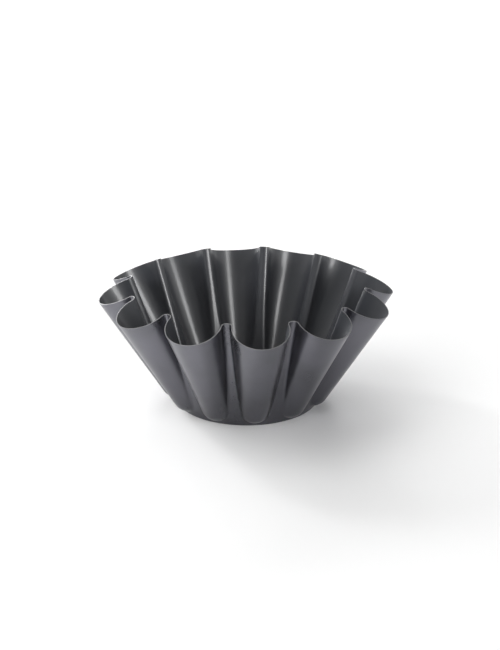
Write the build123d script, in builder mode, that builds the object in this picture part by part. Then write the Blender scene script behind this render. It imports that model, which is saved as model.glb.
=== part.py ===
from build123d import *
import os
from math import asin, atan, atan2, cos, hypot, pi, sin, tan

# Fluted brioche mould: one pressed steel sheet with a non-stick film on each face.
# The origin is the centre of the flat base, +Z is up, and a flute points along +X.
# All diameters are taken over the outside of the finished mould.

# Whole mould
rim_diameter = 220.0      # across the outermost points of two opposite flutes
ridge_diameter = 175.5    # across the tips of two opposite ridges, at the rim
base_diameter = 107.6     # where the wall between the flutes would meet the table
ridge_height = 92.0       # of the rim at a ridge tip
rim_drop = 10.5           # how much lower the rim is at the middle of a flute
flute_count = 12

# Sheet and films
steel_thickness = 0.5
film_thickness = 0.05

# Flutes: ball-ended tapered troughs that lean outwards
foot_radius = 11.4        # of the ball that ends each flute near the base
foot_lift = 3.1           # from the table up to that ball
foot_reach = 0.15         # of the ball's centre beyond the base circle
ridge_width = 6.8         # of the land left between two flutes, at the rim

# Rounded corners, on the outside of the finished mould
groove_radius = 2.7       # where a flute runs out of the ridge beside it
base_edge_radius = 1.5    # round the base

overrun = 2.0             # how far cutting bodies pass the faces that they cut
halvings = 50             # steps in the search for a flute's half angle

# Worked out from the sizes above
rim_radius = rim_diameter / 2
ridge_radius = ridge_diameter / 2
base_radius = base_diameter / 2
rim_height = ridge_height - rim_drop
wall_slope = atan((ridge_radius - base_radius) / ridge_height)
foot_centre_radius = base_radius + foot_reach
foot_centre_height = foot_radius + foot_lift

# The rim is trimmed on a sphere round a point on the axis below the table, so that
# the wall has about the same slanted length at a flute as at a ridge.
trim_centre = (rim_radius**2 + rim_height**2 - ridge_radius**2 - ridge_height**2) / (
    2 * (rim_height - ridge_height)
)
trim_radius = hypot(ridge_radius, ridge_height - trim_centre)

# The outermost line of a flute touches the foot ball and ends at the rim.
foot_to_rim = hypot(rim_radius - foot_centre_radius, rim_height - foot_centre_height)
outer_lean = atan2(rim_radius - foot_centre_radius, rim_height - foot_centre_height) - asin(
    foot_radius / foot_to_rim
)

# Where the edge of a flute crosses the rim of the ridge beside it
edge_angle = pi / flute_count - ridge_width / ridge_diameter
edge_point = (ridge_radius * cos(edge_angle), ridge_radius * sin(edge_angle), ridge_height)


def taper_excess(taper):
    """How far the edge point lies outside a flute with this half angle."""
    lean = outer_lean - taper
    out = edge_point[0] - foot_centre_radius
    up = edge_point[2] - foot_centre_height
    along = out * sin(lean) + up * cos(lean)
    across = hypot(out * cos(lean) - up * sin(lean), edge_point[1])
    return across * cos(taper) - along * sin(taper) - foot_radius


def find_taper():
    """The half angle that puts the flute's surface on the edge point, by halving."""
    low, high = 0.0, outer_lean
    for _ in range(halvings):
        middle = (low + high) / 2
        if taper_excess(middle) > 0:
            low = middle
        else:
            high = middle
    return middle


flute_taper = find_taper()
flute_lean = outer_lean - flute_taper


def flute_body(depth):
    """One flute, solid, with its surface this deep below the finished outside."""
    ball = foot_radius - depth
    axis_plane = Plane(
        origin=(foot_centre_radius, 0, foot_centre_height),
        x_dir=(cos(flute_lean), 0, -sin(flute_lean)),
        z_dir=(0, -1, 0),
    )
    length = (ridge_height - foot_centre_height + overrun) / cos(flute_lean + flute_taper)
    touch = (ball * cos(flute_taper), -ball * sin(flute_taper))
    with BuildPart() as flute:
        with BuildSketch(axis_plane):
            with BuildLine():
                RadiusArc((0, -ball), touch, -ball)
                side = Line(touch, (touch[0] + length * tan(flute_taper), touch[1] + length))
                Polyline(side @ 1, (0, touch[1] + length), (0, -ball))
            make_face()
        revolve(axis=Axis(axis_plane.origin, axis_plane.y_dir))
    return flute.part


def mould_body(depth):
    """The mould filled solid, its surface this deep below the finished outside."""
    reach = trim_radius + overrun + depth
    level = trim_centre + reach
    inset = depth / cos(wall_slope)
    floor_radius = base_radius + depth * tan(wall_slope) - inset
    level_radius = base_radius + level * tan(wall_slope) - inset
    one_flute = flute_body(depth)
    with BuildPart() as body:
        with BuildSketch(Plane.XZ):
            with BuildLine():
                Polyline((0, depth), (floor_radius, depth), (level_radius, level), (0, level), close=True)
            make_face()
        revolve(axis=Axis.Z)
        with PolarLocations(0, flute_count):
            add(one_flute)
        with Locations((0, 0, trim_centre)):
            Sphere(reach, mode=Mode.INTERSECT)
        wall = body.faces().filter_by(GeomType.CONE).sort_by(SortBy.AREA)[-1]
        grooves = wall.edges().filter_by(lambda edge: edge.geom_type not in (GeomType.CIRCLE, GeomType.LINE))
        fillet(grooves, groove_radius + depth)
        fillet(body.edges().group_by(Axis.Z)[0], base_edge_radius - depth)
    return body.part


outside = mould_body(0)
steel_outside = mould_body(film_thickness)
steel_inside = mould_body(film_thickness + steel_thickness)
inside = mould_body(steel_thickness + 2 * film_thickness)

with BuildPart() as steel_shell:
    add(steel_outside)
    add(steel_inside, mode=Mode.SUBTRACT)
    with Locations((0, 0, trim_centre)):
        Sphere(trim_radius, mode=Mode.INTERSECT)
steel_shell.part.label = "steel_shell"

with BuildPart() as outer_coating:
    add(outside)
    add(steel_outside, mode=Mode.SUBTRACT)
    with Locations((0, 0, trim_centre)):
        Sphere(trim_radius, mode=Mode.INTERSECT)
outer_coating.part.label = "outer_coating"

with BuildPart() as inner_coating:
    add(steel_inside)
    add(inside, mode=Mode.SUBTRACT)
    with Locations((0, 0, trim_centre)):
        Sphere(trim_radius, mode=Mode.INTERSECT)
inner_coating.part.label = "inner_coating"

os.makedirs("parts", exist_ok=True)
for piece in (steel_shell, outer_coating, inner_coating):
    export_step(piece.part, "parts/" + piece.part.label + ".step")
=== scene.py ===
import math

import bpy
import numpy as np
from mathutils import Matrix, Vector


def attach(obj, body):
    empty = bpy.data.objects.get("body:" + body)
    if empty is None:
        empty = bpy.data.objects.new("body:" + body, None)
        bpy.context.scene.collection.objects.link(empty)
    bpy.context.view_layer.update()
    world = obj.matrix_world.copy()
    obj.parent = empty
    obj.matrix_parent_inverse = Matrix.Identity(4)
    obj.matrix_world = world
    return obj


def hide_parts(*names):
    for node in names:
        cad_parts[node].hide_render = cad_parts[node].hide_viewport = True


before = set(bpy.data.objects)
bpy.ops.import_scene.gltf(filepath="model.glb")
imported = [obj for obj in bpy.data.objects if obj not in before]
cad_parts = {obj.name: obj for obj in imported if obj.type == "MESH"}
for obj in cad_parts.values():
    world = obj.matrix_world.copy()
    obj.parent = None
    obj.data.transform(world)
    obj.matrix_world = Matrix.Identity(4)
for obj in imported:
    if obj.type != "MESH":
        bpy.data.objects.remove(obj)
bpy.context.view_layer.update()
mm = 0.001
print("frame loaded:", ", ".join(sorted(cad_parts)))

# Camera: fitted to the rim, the ridge tips, the flutes' outlines and the base in the photo.
cameraSetup = {
    "distance": 1157.3 * mm,
    "elevation": 20.81,  # degrees above the table
    "turn": 6.2,  # degrees that the camera stands to the left of -Y
    "aimSide": 2.33 * mm,  # of the point aimed at, to the camera's right of the axis
    "aimHeight": 58.2 * mm,
    "lens": 85.73,
    "sensor": 36.0,
}


def makeCamera(setup):
    turn = math.radians(setup["turn"])
    rise = math.radians(setup["elevation"])
    right = Vector((math.cos(turn), -math.sin(turn), 0))
    back = Vector(
        (-math.sin(turn) * math.cos(rise), -math.cos(turn) * math.cos(rise), math.sin(rise))
    )
    data = bpy.data.cameras.new("camera")
    data.lens = setup["lens"]
    data.sensor_width = setup["sensor"]
    camera = bpy.data.objects.new("camera", data)
    aim = right * setup["aimSide"] + Vector((0, 0, setup["aimHeight"]))
    camera.location = aim + back * setup["distance"]
    camera.rotation_mode = "QUATERNION"
    camera.rotation_quaternion = back.to_track_quat("Z", "Y")
    bpy.context.scene.collection.objects.link(camera)
    bpy.context.scene.camera = camera
    return right


cameraRight = makeCamera(cameraSetup)
print("camera placed")

# The mould's form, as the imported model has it
mould = {
    "rimRadius": 110 * mm,  # to the outermost point of a flute
    "ridgeRadius": 87.75 * mm,  # to a ridge, at the rim
    "baseRadius": 53.8 * mm,
    "ridgeHeight": 92 * mm,
    "rimDrop": 10.5 * mm,  # the rim is this much lower at a flute than at a ridge
    "fluteCount": 12,
    "footRadius": 11.4 * mm,  # the ball that ends a flute near the base
    "footLift": 3.1 * mm,
    "footReach": 0.15 * mm,
    "ridgeWidth": 6.8 * mm,
    "grooveRadius": 2.7 * mm,
    "baseEdgeRadius": 1.5 * mm,
    "steel": 0.5 * mm,
    "film": 0.05 * mm,
}

# How finely the visible mesh follows that form
meshing = {
    "halfColumns": 28,  # across half a flute
    "bendShare": 12 * mm,  # more columns where the outline turns: so much for each radian
    "marchStep": 0.25 * mm,
    "marchShare": 0.6,  # how far the outline is followed, as a share of the rim's radius
    "startRounds": 30,  # of settling the first points onto the form
    "stepRounds": 2,
    "endRounds": 3,
    "halvings": 50,
    "nearParallel": 0.999,  # cosine past which two faces count as parallel
    "footRows": 18,
    "wallRows": 32,
    "footTop": 18 * mm,
    "footStart": 1.25 * mm,
    "edgeRows": 4,
    "floorRings": (50 * mm, 42 * mm, 30 * mm, 16 * mm, 5 * mm),
    "ridgeBandShare": 0.6,  # width of the band beside each ridge, of the groove's radius
    "sharpAngle": 50,  # degrees, past which an edge stays sharp
}

# The pressed sheet isn't quite true: long, low waves that bend the reflections
waves = {
    "height": 0.22 * mm,
    "size": 38 * mm,
    "seed": 4.0,
    "detail": 1.0,
    "weld": 0.002 * mm,  # points closer than this are merged
}

rimHeight = mould["ridgeHeight"] - mould["rimDrop"]
wallSlope = math.atan((mould["ridgeRadius"] - mould["baseRadius"]) / mould["ridgeHeight"])
footCentreRadius = mould["baseRadius"] + mould["footReach"]
footCentreHeight = mould["footRadius"] + mould["footLift"]
halfPitch = math.pi / mould["fluteCount"]
# The rim lies on a sphere round a point on the axis below the table
trimCentre = (
    mould["rimRadius"] ** 2 + rimHeight**2 - mould["ridgeRadius"] ** 2 - mould["ridgeHeight"] ** 2
) / (2 * (rimHeight - mould["ridgeHeight"]))
trimRadius = math.hypot(mould["ridgeRadius"], mould["ridgeHeight"] - trimCentre)


def fluteAngles():
    # The flute's outermost line touches the foot ball and meets the rim. Its taper leaves a
    # land of the given width on the ridge, found by halving.
    out, up = mould["rimRadius"] - footCentreRadius, rimHeight - footCentreHeight
    outerLean = math.atan2(out, up) - math.asin(mould["footRadius"] / math.hypot(out, up))
    edgeAngle = halfPitch - mould["ridgeWidth"] / (2 * mould["ridgeRadius"])
    edgeOut = mould["ridgeRadius"] * math.cos(edgeAngle) - footCentreRadius
    edgeSide = mould["ridgeRadius"] * math.sin(edgeAngle)
    edgeUp = mould["ridgeHeight"] - footCentreHeight
    low, high = 0.0, outerLean
    for _ in range(meshing["halvings"]):
        taper = (low + high) / 2
        lean = outerLean - taper
        along = edgeOut * math.sin(lean) + edgeUp * math.cos(lean)
        across = math.hypot(edgeOut * math.cos(lean) - edgeUp * math.sin(lean), edgeSide)
        if across * math.cos(taper) - along * math.sin(taper) > mould["footRadius"]:
            low = taper
        else:
            high = taper
    return lean, taper


fluteLean, fluteTaper = fluteAngles()


def unit(vectors):
    return vectors / np.linalg.norm(vectors, axis=-1, keepdims=True)


def wallDistance(points):
    # Signed distance from the outside of the wall between the flutes and its direction
    radius = np.hypot(points[..., 0], points[..., 1])
    wallRadius = mould["baseRadius"] + points[..., 2] * math.tan(wallSlope)
    distance = (radius - wallRadius) * math.cos(wallSlope)
    level = np.zeros_like(radius)
    outward = np.stack([points[..., 0] / radius, points[..., 1] / radius, level], axis=-1)
    normal = outward * math.cos(wallSlope) - np.array([0, 0, math.sin(wallSlope)])
    return distance, normal


def fluteDistance(points):
    # The same for the flute along +X: a ball-ended cone that leans outwards
    axis = np.array([math.sin(fluteLean), 0, math.cos(fluteLean)])
    offset = points - np.array([footCentreRadius, 0, footCentreHeight])
    along = offset @ axis
    across = offset - along[..., None] * axis
    reach = np.linalg.norm(across, axis=-1)
    onCone = reach * math.sin(fluteTaper) + along * math.cos(fluteTaper) > 0
    coneNormal = across / reach[..., None] * math.cos(fluteTaper) - axis * math.sin(fluteTaper)
    coneDistance = reach * math.cos(fluteTaper) - along * math.sin(fluteTaper)
    ballDistance = np.linalg.norm(offset, axis=-1)
    distance = np.where(onCone, coneDistance, ballDistance) - mould["footRadius"]
    normal = np.where(onCone[..., None], coneNormal, offset / ballDistance[..., None])
    return distance, normal


def outsideDistance(points):
    # Both joined, with a round of the groove's radius rolled into the corner between them
    roll = mould["grooveRadius"]
    limit = meshing["nearParallel"]
    wall, wallNormal = wallDistance(points)
    flute, fluteNormal = fluteDistance(points)
    cosine = np.clip((wallNormal * fluteNormal).sum(-1), -limit, limit)
    wallGap, fluteGap = wall - roll, flute - roll
    wallPart = (wallGap - fluteGap * cosine) / (1 - cosine**2)
    flutePart = (fluteGap - wallGap * cosine) / (1 - cosine**2)
    fromCentre = wallPart[..., None] * wallNormal + flutePart[..., None] * fluteNormal
    length = np.linalg.norm(fromCentre, axis=-1)
    inRound = (wallPart < 0) & (flutePart < 0)
    distance = np.where(inRound, roll - length, np.minimum(wall, flute))
    plain = np.where((wall < flute)[..., None], wallNormal, fluteNormal)
    normal = np.where(inRound[..., None], -fromCentre / length[..., None], plain)
    return distance, normal


def settle(points, reach, rounds):
    # Moves points onto the outside while each stays on its row's sphere round the trim centre
    centre = np.array([0, 0, trimCentre])
    for _ in range(rounds):
        distance, normal = outsideDistance(points)
        radial = unit(points - centre)
        slide = normal - (normal * radial).sum(-1, keepdims=True) * radial
        points = points - (distance / (slide**2).sum(-1))[..., None] * slide
        points = centre + unit(points - centre) * reach[..., None]
    return points


def marchRow(reach):
    # Follows the outline on each row's sphere, from the middle of a flute to the middle of a ridge
    centre = np.array([0, 0, trimCentre])
    zero = np.zeros_like(reach)
    start = np.stack([zero + 2 * mould["rimRadius"], zero, zero + rimHeight], axis=-1)
    onSphere = centre + unit(start - centre) * reach[:, None]
    points = settle(onSphere, reach, meshing["startRounds"])
    trail = [points]
    for _ in range(int(mould["rimRadius"] * meshing["marchShare"] / meshing["marchStep"])):
        normal = outsideDistance(points)[1]
        forward = unit(np.cross(unit(points - centre), normal))
        points = settle(points + forward * meshing["marchStep"], reach, meshing["stepRounds"])
        trail.append(points)
    return np.stack(trail)


def spreadRow(trail, reach):
    # Places the columns along one row: evenly, but closer where the outline turns
    angle = np.arctan2(trail[:, 1], trail[:, 0])
    last = int(np.argmax(angle >= halfPitch))
    share = (halfPitch - angle[last - 1]) / (angle[last] - angle[last - 1])
    end = trail[last - 1] + (trail[last] - trail[last - 1]) * share
    path = np.vstack([trail[:last], end])
    normal = outsideDistance(path)[1]
    step = np.linalg.norm(np.diff(path, axis=0), axis=1)
    turn = np.linalg.norm(np.diff(normal, axis=0), axis=1)
    weight = np.concatenate([[0], np.cumsum(step + meshing["bendShare"] * turn)])
    wanted = np.linspace(0, weight[-1], meshing["halfColumns"] + 1)
    return np.stack([np.interp(wanted, weight, path[:, axis]) for axis in range(3)], axis=1)


def halfSector():
    # Rows from the rim down to the middle of the floor, with the outward direction at each point
    high = np.linspace(mould["ridgeHeight"], meshing["footTop"], meshing["wallRows"] + 1)[:-1]
    low = np.linspace(meshing["footTop"], meshing["footStart"], meshing["footRows"])
    heights = np.concatenate([high, low])
    radii = mould["baseRadius"] + heights * math.tan(wallSlope)
    reach = np.hypot(radii, heights - trimCentre)
    trails = marchRow(reach)
    rows = np.stack([spreadRow(trails[:, row], reach[row]) for row in range(len(reach))])
    rowReach = np.repeat(reach[:, None], rows.shape[1], axis=1)
    rows = settle(rows, rowReach, meshing["endRounds"])
    rows[:, 0, 1] = 0
    ridgeSpoke = [math.cos(halfPitch), math.sin(halfPitch)]
    rows[:, -1, :2] = np.linalg.norm(rows[:, -1, :2], axis=-1)[:, None] * ridgeSpoke
    normals = outsideDistance(rows)[1]
    edge = mould["baseEdgeRadius"]
    edgeCentre = mould["baseRadius"] + edge * (math.tan(wallSlope) - 1 / math.cos(wallSlope))
    azimuth = np.arctan2(rows[-1, :, 1], rows[-1, :, 0])
    spoke = np.stack([np.cos(azimuth), np.sin(azimuth), 0 * azimuth], axis=-1)
    down = np.array([0, 0, -1.0])
    for turn in np.linspace(wallSlope, math.pi / 2, meshing["edgeRows"] + 1):
        outward = spoke * math.cos(turn) + down * math.sin(turn)
        place = spoke * edgeCentre + np.array([0, 0, edge]) + outward * edge
        rows = np.concatenate([rows, place[None]])
        normals = np.concatenate([normals, outward[None]])
    for ring in meshing["floorRings"]:
        rows = np.concatenate([rows, (spoke * ring)[None]])
        normals = np.concatenate([normals, (0 * spoke + down)[None]])
    return rows, normals


halfRows, halfNormals = halfSector()
mirror = np.array([1, -1, 1.0])
sectorRows = np.concatenate([(halfRows * mirror)[:, :0:-1], halfRows], axis=1)
sectorNormals = np.concatenate([(halfNormals * mirror)[:, :0:-1], halfNormals], axis=1)
# 1 in the middle of the round beside each ridge, 0 on the plain walls and below them
sideGap = np.abs(wallDistance(sectorRows)[0] - fluteDistance(sectorRows)[0])
ridgeShare = np.clip(1 - sideGap / (mould["grooveRadius"] * meshing["ridgeBandShare"]), 0, 1)
ridgeShare[meshing["wallRows"] + meshing["footRows"]:] = 0
print("one flute worked out:", sectorRows.shape[0], "rows of", sectorRows.shape[1], "points")


def sectorMesh(name, outerDepth, innerDepth):
    # One flute of a closed layer that lies between two depths below the finished outside
    rowCount, columnCount = sectorRows.shape[:2]
    perFace = rowCount * columnCount
    points, faces = [], []
    for side, depth in enumerate((outerDepth, innerDepth)):
        base = side * (perFace + 1)
        layer = (sectorRows - depth * sectorNormals).reshape(-1, 3)
        points += [tuple(point) for point in layer] + [(0, 0, depth)]
        for row in range(rowCount):
            for column in range(columnCount - 1):
                here = base + row * columnCount + column
                if row < rowCount - 1:
                    face = (here, here + columnCount, here + columnCount + 1, here + 1)
                else:
                    face = (here, base + perFace, here + 1)
                faces.append(face if side == 0 else face[::-1])
    for column in range(columnCount - 1):
        inner = perFace + 1 + column
        faces.append((column, column + 1, inner + 1, inner))
    mesh = bpy.data.meshes.new(name)
    mesh.from_pydata(points, [], faces)
    reach = np.linalg.norm(np.array(points) - [0, 0, trimCentre], axis=1)
    share = np.concatenate([ridgeShare.ravel(), [0]] * 2)
    for attribute, values in (("rimDistance", trimRadius - reach), ("ridgeShare", share)):
        data = mesh.attributes.new(attribute, "FLOAT", "POINT").data
        data.foreach_set("value", values.astype(np.float32))
    return mesh


# A wire is one output socket, so that maths on it reads as Python
class Wire:
    def __init__(self, graph, socket):
        self.graph, self.socket = graph, socket

    def maths(self, operation, other, swapped=False):
        values = (other, self) if swapped else (self, other)
        return self.graph.add("ShaderNodeMath", {"operation": operation}, dict(enumerate(values)))

    def __add__(self, other):
        return self.maths("ADD", other)

    def __sub__(self, other):
        return self.maths("SUBTRACT", other)

    def __rsub__(self, other):
        return self.maths("SUBTRACT", other, True)

    def __mul__(self, other):
        return self.maths("MULTIPLY", other)

    def __truediv__(self, other):
        return self.maths("DIVIDE", other)

    def __rtruediv__(self, other):
        return self.maths("DIVIDE", other, True)

    __radd__, __rmul__ = __add__, __mul__


class Graph:
    def __init__(self, tree):
        self.tree = tree

    def add(self, kind, settings=None, values=None, out=0):
        node = self.tree.nodes.new(kind)
        for name, value in (settings or {}).items():
            setattr(node, name, value)
        for name, value in (values or {}).items():
            if isinstance(value, Wire):
                self.tree.links.new(value.socket, node.inputs[name])
            else:
                node.inputs[name].default_value = value
        return Wire(self, node.outputs[out])

    def smooth(self, value, low, high):
        # 0 below low, 1 above high, eased between
        return self.add("ShaderNodeMapRange", {"interpolation_type": "SMOOTHSTEP"},
                        {"Value": value, "From Min": low, "From Max": high})


def fluteRing():
    # Geometry Nodes: repeats one flute round the mould, welds it and lets the sheet wave
    tree = bpy.data.node_groups.new("flute ring", "GeometryNodeTree")
    tree.is_modifier = True
    face = tree.interface
    face.new_socket("Flute", in_out="INPUT", socket_type="NodeSocketGeometry")
    for name, kind, value in (
        ("Flute Count", "NodeSocketInt", mould["fluteCount"]),
        ("Weld", "NodeSocketFloat", waves["weld"]),
        ("Wave Height", "NodeSocketFloat", waves["height"]),
        ("Wave Size", "NodeSocketFloat", waves["size"]),
        ("Wave Seed", "NodeSocketFloat", waves["seed"]),
        ("Wave Detail", "NodeSocketFloat", waves["detail"]),
        ("Flat Below", "NodeSocketFloat", meshing["footTop"]),
        ("Rim Radius", "NodeSocketFloat", mould["rimRadius"]),
    ):
        face.new_socket(name, in_out="INPUT", socket_type=kind).default_value = value
    face.new_socket("Finish", in_out="INPUT", socket_type="NodeSocketMaterial")
    face.new_socket("Ring", in_out="OUTPUT", socket_type="NodeSocketGeometry")
    graph = Graph(tree)
    source = tree.nodes.new("NodeGroupInput")
    sizes = {socket.name: Wire(graph, socket) for socket in source.outputs if socket.name}
    points = graph.add("GeometryNodePoints", None, {"Count": sizes["Flute Count"]})
    turn = graph.add("GeometryNodeInputIndex") * (2 * math.pi) / sizes["Flute Count"]
    rotation = graph.add("ShaderNodeCombineXYZ", None, {"Z": turn})
    copies = graph.add("GeometryNodeInstanceOnPoints", None,
                       {"Points": points, "Instance": sizes["Flute"], "Rotation": rotation})
    real = graph.add("GeometryNodeRealizeInstances", None, {"Geometry": copies})
    welded = graph.add("GeometryNodeMergeByDistance", None,
                       {"Geometry": real, "Distance": sizes["Weld"]})
    position = graph.add("GeometryNodeInputPosition")
    noise = graph.add("ShaderNodeTexNoise", {"noise_dimensions": "4D"},
                      {"Vector": position, "W": sizes["Wave Seed"],
                       "Scale": 1 / sizes["Wave Size"], "Detail": sizes["Wave Detail"]}, 1)
    centred = graph.add("ShaderNodeVectorMath", {"operation": "SUBTRACT"},
                        {0: noise, 1: (0.5, 0.5, 0.5)})
    height = graph.add("ShaderNodeSeparateXYZ", None, {0: position}, 2)
    amount = graph.smooth(height, 0.0, sizes["Flat Below"]) * sizes["Wave Height"] * 2
    wave = graph.add("ShaderNodeVectorMath", {"operation": "SCALE"}, {0: centred, "Scale": amount})
    # drawn in by the waves' height, so that no wave reaches past the rim or above it
    narrow = 0 - sizes["Wave Height"] / sizes["Rim Radius"]
    inward = graph.add("ShaderNodeVectorMath", {"operation": "SCALE"},
                       {0: position, "Scale": narrow})
    offset = graph.add("ShaderNodeVectorMath", {"operation": "ADD"}, {0: wave, 1: inward})
    moved = graph.add("GeometryNodeSetPosition", None, {"Geometry": welded, "Offset": offset})
    finished = graph.add("GeometryNodeSetMaterial", None,
                         {"Geometry": moved, "Material": sizes["Finish"]})
    tree.links.new(finished.socket, tree.nodes.new("NodeGroupOutput").inputs["Ring"])
    return tree


def makeLayer(name, tree, outerDepth, innerDepth, finish):
    flute = sectorMesh(name + ".flute", outerDepth, innerDepth)
    seed = bpy.data.objects.new(name + ".flute", flute)
    bpy.context.scene.collection.objects.link(seed)
    ring = seed.modifiers.new("flute ring", "NODES")
    ring.node_group = tree
    finishSocket = tree.interface.items_tree["Finish"].identifier
    ring[finishSocket] = finish
    graph = bpy.context.evaluated_depsgraph_get()
    mesh = bpy.data.meshes.new_from_object(seed.evaluated_get(graph))
    seed.modifiers.clear()
    bpy.data.objects.remove(seed)
    mesh.name = name
    mesh.polygons.foreach_set("use_smooth", [True] * len(mesh.polygons))
    mesh.set_sharp_from_angle(angle=math.radians(meshing["sharpAngle"]))
    layer = bpy.data.objects.new(name, mesh)
    bpy.context.scene.collection.objects.link(layer)
    triangles = sum(len(face.vertices) - 2 for face in mesh.polygons)
    print(name, "made:", len(mesh.vertices), "points,", triangles, "triangles")
    return layer


outerFinish = {
    "colour": (0.166, 0.167, 0.184, 1),
    "paler": (0.189, 0.188, 0.211, 1),
    "worn": (0.15, 0.148, 0.16, 1),  # at the very rim
    "paintedFootShade": 0.38,  # painted shade: the colour is made this much darker at the foot than at the rim, for the shade that falls there
    "roughness": 0.29,
    "relief": 0.04,  # strength of the grain's bump
    "metal": 0.95,
    "gloss": 0.0,  # share of the smoother coat on it
    "glossRoughness": 0.2,
    "burnish": 0.0,  # of the ridges, where the film is polished brighter
    "grain": 1400.0,
}
innerFinish = {
    "colour": (0.029, 0.031, 0.036, 1),
    "paler": (0.036, 0.038, 0.044, 1),
    "worn": (0.055, 0.055, 0.06, 1),
    "paintedFootShade": 0.0,
    "roughness": 0.48,
    "relief": 0.12,
    "metal": 0.0,
    "gloss": 0.75,
    "glossRoughness": 0.2,
    "burnish": 0.4,
    "grain": 1100.0,
}

# What both films share
filmTexture = {
    "cloud": 28.0,  # scale of the broad patches in colour and roughness
    "cloudDetail": 3.0,
    "grainDetail": 2.0,
    "cloudLow": 0.35,
    "cloudHigh": 0.65,
    "cloudRoughness": 0.08,
    "grainRoughness": 0.04,
    "wornRoughness": 0.1,
    "wornWidth": 0.4 * mm,  # of the worn band along the rim
    "wornRagged": 0.6 * mm,
    # painted shade: the heights between which the painted darkening at the foot fades out
    "paintedShadeLow": 5 * mm,
    "paintedShadeHigh": 75 * mm,
    "reliefDepth": 0.02 * mm,
    "polishedLevel": 1.0,
    "polishedCoat": 1.0,
    "polishedIor": 1.8,
}
steelFinish = {
    "colour": (0.25, 0.25, 0.253, 1),
    "roughness": 0.5,
    "spread": 0.2,  # of the roughness over the scratches
    "scratch": 900.0,
    "scratchDetail": 2.0,
    "relief": 0.1,
    "reliefDepth": 0.02 * mm,
}


def newMaterial(name):
    material = bpy.data.materials.new(name)
    material.use_nodes = True
    material.node_tree.nodes.clear()
    return material, Graph(material.node_tree)


def finishMaterial(graph, shader):
    output = graph.tree.nodes.new("ShaderNodeOutputMaterial")
    graph.tree.links.new(shader.socket, output.inputs["Surface"])


def filmMaterial(name, finish):
    material, graph = newMaterial(name)
    share = filmTexture
    place = graph.add("ShaderNodeTexCoord", None, None, 3)
    cloud = graph.add("ShaderNodeTexNoise", None,
                      {"Vector": place, "Scale": share["cloud"], "Detail": share["cloudDetail"]})
    speck = graph.add("ShaderNodeTexNoise", None,
                      {"Vector": place, "Scale": finish["grain"], "Detail": share["grainDetail"]})
    height = graph.add("ShaderNodeSeparateXYZ", None, {0: place}, 2)
    rimDistance = graph.add("ShaderNodeAttribute", {"attribute_name": "rimDistance"}, None, 2)
    ridgeShare = graph.add("ShaderNodeAttribute", {"attribute_name": "ridgeShare"}, None, 2)
    ragged = rimDistance + (speck - 0.5) * share["wornRagged"]
    wear = 1 - graph.smooth(ragged, 0.0, share["wornWidth"])
    # painted shade: the colour is darkened towards the foot, for the shade that falls there
    above = graph.smooth(height, share["paintedShadeLow"], share["paintedShadeHigh"])
    shade = 1 - finish["paintedFootShade"] * (1 - above)
    patches = graph.smooth(cloud, share["cloudLow"], share["cloudHigh"])
    mottled = graph.add("ShaderNodeMix", {"data_type": "RGBA"},
                        {0: patches, 6: finish["colour"], 7: finish["paler"]}, 2)
    edged = graph.add("ShaderNodeMix", {"data_type": "RGBA"},
                      {0: wear, 6: mottled, 7: finish["worn"]}, 2)
    colour = graph.add("ShaderNodeVectorMath", {"operation": "SCALE"}, {0: edged, "Scale": shade})
    unevenness = (cloud - 0.5) * share["cloudRoughness"] + (speck - 0.5) * share["grainRoughness"]
    rough = finish["roughness"] + unevenness + wear * share["wornRoughness"]
    bump = graph.add("ShaderNodeBump", None, {"Height": speck, "Strength": finish["relief"],
                                              "Distance": share["reliefDepth"]})
    film = {"Base Color": colour, "Metallic": finish["metal"], "Roughness": rough, "Normal": bump,
            "Coat Roughness": finish["glossRoughness"]}
    shader = graph.add("ShaderNodeBsdfPrincipled", None, {**film, "Coat Weight": finish["gloss"]})
    if finish["burnish"] > 0:
        polished = graph.add("ShaderNodeBsdfPrincipled", None,
                             {**film, "Specular IOR Level": share["polishedLevel"],
                              "Coat Weight": share["polishedCoat"],
                              "Coat IOR": share["polishedIor"]})
        shader = graph.add("ShaderNodeMixShader", None,
                           {0: ridgeShare * finish["burnish"], 1: shader, 2: polished})
    finishMaterial(graph, shader)
    return material


def steelMaterial():
    material, graph = newMaterial("bare steel")
    place = graph.add("ShaderNodeTexCoord", None, None, 3)
    scratch = graph.add("ShaderNodeTexNoise", None,
                        {"Vector": place, "Scale": steelFinish["scratch"],
                         "Detail": steelFinish["scratchDetail"]})
    rough = steelFinish["roughness"] + (scratch - 0.5) * steelFinish["spread"]
    bump = graph.add("ShaderNodeBump", None, {"Height": scratch, "Strength": steelFinish["relief"],
                                              "Distance": steelFinish["reliefDepth"]})
    shader = graph.add("ShaderNodeBsdfPrincipled", None,
                       {"Base Color": steelFinish["colour"], "Metallic": 1.0, "Roughness": rough,
                        "Normal": bump})
    finishMaterial(graph, shader)
    return material


ringTree = fluteRing()
film, steel = mould["film"], mould["steel"]
for node, slotName, outerDepth, innerDepth, finish in (
    ("outer_coating", "outer_film", 0.0, film, filmMaterial("satin film outside", outerFinish)),
    ("steel_shell", "bare_steel", film, film + steel, steelMaterial()),
    ("inner_coating", "inner_film", film + steel, steel + 2 * film,
     filmMaterial("glossy film inside", innerFinish)),
):
    layer = makeLayer(node + "_surface", ringTree, outerDepth, innerDepth, finish)
    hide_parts(node)
    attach(layer, "root")

studio = {
    "floorSize": 40.0,
    "floorColour": (1.0, 1.0, 1.0, 1),
    "skyOnMatt": 0.0,  # radiance of the room where it lights matt surfaces
    "skyMirrored": 0.35,  # and where polished ones mirror it
    "lampDistance": 14.0,
}

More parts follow.
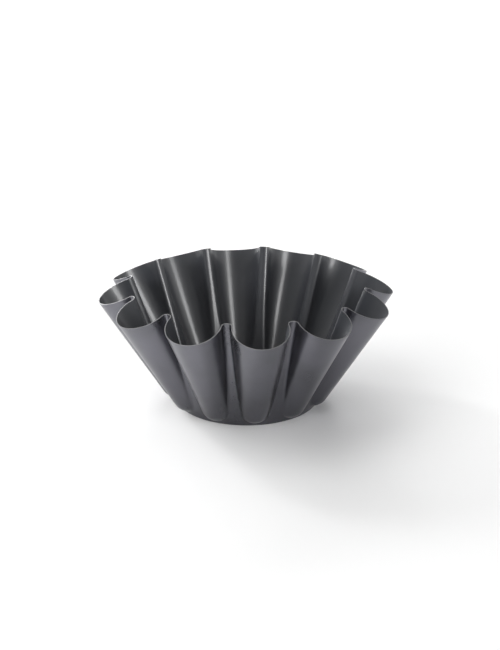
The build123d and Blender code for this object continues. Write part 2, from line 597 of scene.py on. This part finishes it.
# Soft boxes, in degrees as seen from the mould: the angle from the camera's right, anticlockwise
# from above, the rise above the table, width and height; and the radiance.
# These light matt surfaces, and so make the shadow on the table.
mattLamps = {
    "low": {"angle": 121.4, "rise": 5.2, "wide": 45.6, "tall": 10.0, "radiance": 53.8},
    "backHigh": {"angle": 137.4, "rise": 27.9, "wide": 7.8, "tall": 11.1, "radiance": 30.6},
    "back": {"angle": 84.9, "rise": 22.9, "wide": 23.2, "tall": 8.3, "radiance": 18.7},
    "left": {"angle": 221.1, "rise": 15.1, "wide": 43.7, "tall": 14.2, "radiance": 10.3},
    "front": {"angle": 314.1, "rise": 15.0, "wide": 49.9, "tall": 29.8, "radiance": 4.57},
    "overhead": {"angle": 180.7, "rise": 38.5, "wide": 58.1, "tall": 75.1, "radiance": 1.85},
    "behind": {"angle": 101.0, "rise": 57.5, "wide": 27.6, "tall": 59.2, "radiance": 1.67},
}

# And these are what the polished film and the cut rim mirror.
mirroredLamps = {
    "rimBack": {"angle": 106.6, "rise": 13.4, "wide": 55, "tall": 27, "radiance": 7.0},
    "rimFront": {"angle": 165, "rise": 62, "wide": 73, "tall": 56, "radiance": 1.6},
    "rimHigh": {"angle": 88.7, "rise": 34.8, "wide": 30, "tall": 40.7, "radiance": 2.1},
    "window": {"angle": 314, "rise": 24, "wide": 22, "tall": 38, "radiance": 8.8},
    "paleWall": {"angle": 331, "rise": 24, "wide": 92, "tall": 44, "radiance": 0.42},
    "farRight": {"angle": 28, "rise": 16, "wide": 22, "tall": 24, "radiance": 1.0},
}


def makeFloor():
    half = studio["floorSize"] / 2
    mesh = bpy.data.meshes.new("floor")
    corners = [(-half, -half, 0), (half, -half, 0), (half, half, 0), (-half, half, 0)]
    mesh.from_pydata(corners, [], [(0, 1, 2, 3)])
    floor = bpy.data.objects.new("floor", mesh)
    bpy.context.scene.collection.objects.link(floor)
    material, graph = newMaterial("white table")
    shader = graph.add("ShaderNodeBsdfDiffuse", None, {"Color": studio["floorColour"]})
    finishMaterial(graph, shader)
    mesh.materials.append(material)


def makeSky():
    world = bpy.data.worlds.new("studio")
    world.use_nodes = True
    world.node_tree.nodes.clear()
    graph = Graph(world.node_tree)
    rays = world.node_tree.nodes.new("ShaderNodeLightPath")
    camera = Wire(graph, rays.outputs["Is Camera Ray"])
    glossy = Wire(graph, rays.outputs["Is Glossy Ray"])
    unseen = studio["skyOnMatt"] + glossy * (studio["skyMirrored"] - studio["skyOnMatt"])
    strength = camera + (1 - camera) * unseen  # plain white where the camera sees it
    sky = graph.add("ShaderNodeBackground", None, {"Color": (1, 1, 1, 1), "Strength": strength})
    output = world.node_tree.nodes.new("ShaderNodeOutputWorld")
    world.node_tree.links.new(sky.socket, output.inputs["Surface"])
    bpy.context.scene.world = world


def makeLamp(name, lamp, matt):
    data = bpy.data.lights.new(name, "AREA")
    data.shape = "RECTANGLE"
    angle, rise = math.radians(lamp["angle"]), math.radians(lamp["rise"])
    # a lamp high up spans a wider angle round the room than its own width
    halfAcross = math.radians(lamp["wide"] / 2) * math.cos(rise)
    data.size = 2 * studio["lampDistance"] * math.tan(halfAcross)
    data.size_y = 2 * studio["lampDistance"] * math.tan(math.radians(lamp["tall"] / 2))
    data.energy = lamp["radiance"] * math.pi * data.size * data.size_y
    ahead = Vector((0, 0, 1)).cross(cameraRight)
    level = cameraRight * math.cos(angle) + ahead * math.sin(angle)
    towards = level * math.cos(rise) + Vector((0, 0, math.sin(rise)))
    lampObject = bpy.data.objects.new(name, data)
    lampObject.location = towards * studio["lampDistance"]
    lampObject.rotation_mode = "QUATERNION"
    lampObject.rotation_quaternion = towards.to_track_quat("Z", "Y")
    lampObject.visible_camera = False
    lampObject.visible_diffuse = matt
    lampObject.visible_glossy = not matt
    bpy.context.scene.collection.objects.link(lampObject)


makeFloor()
makeSky()
for name, lamp in mattLamps.items():
    makeLamp(name, lamp, True)
for name, lamp in mirroredLamps.items():
    makeLamp(name, lamp, False)
print("table and lamps placed")
bpy.context.scene.view_settings.view_transform = "Standard"
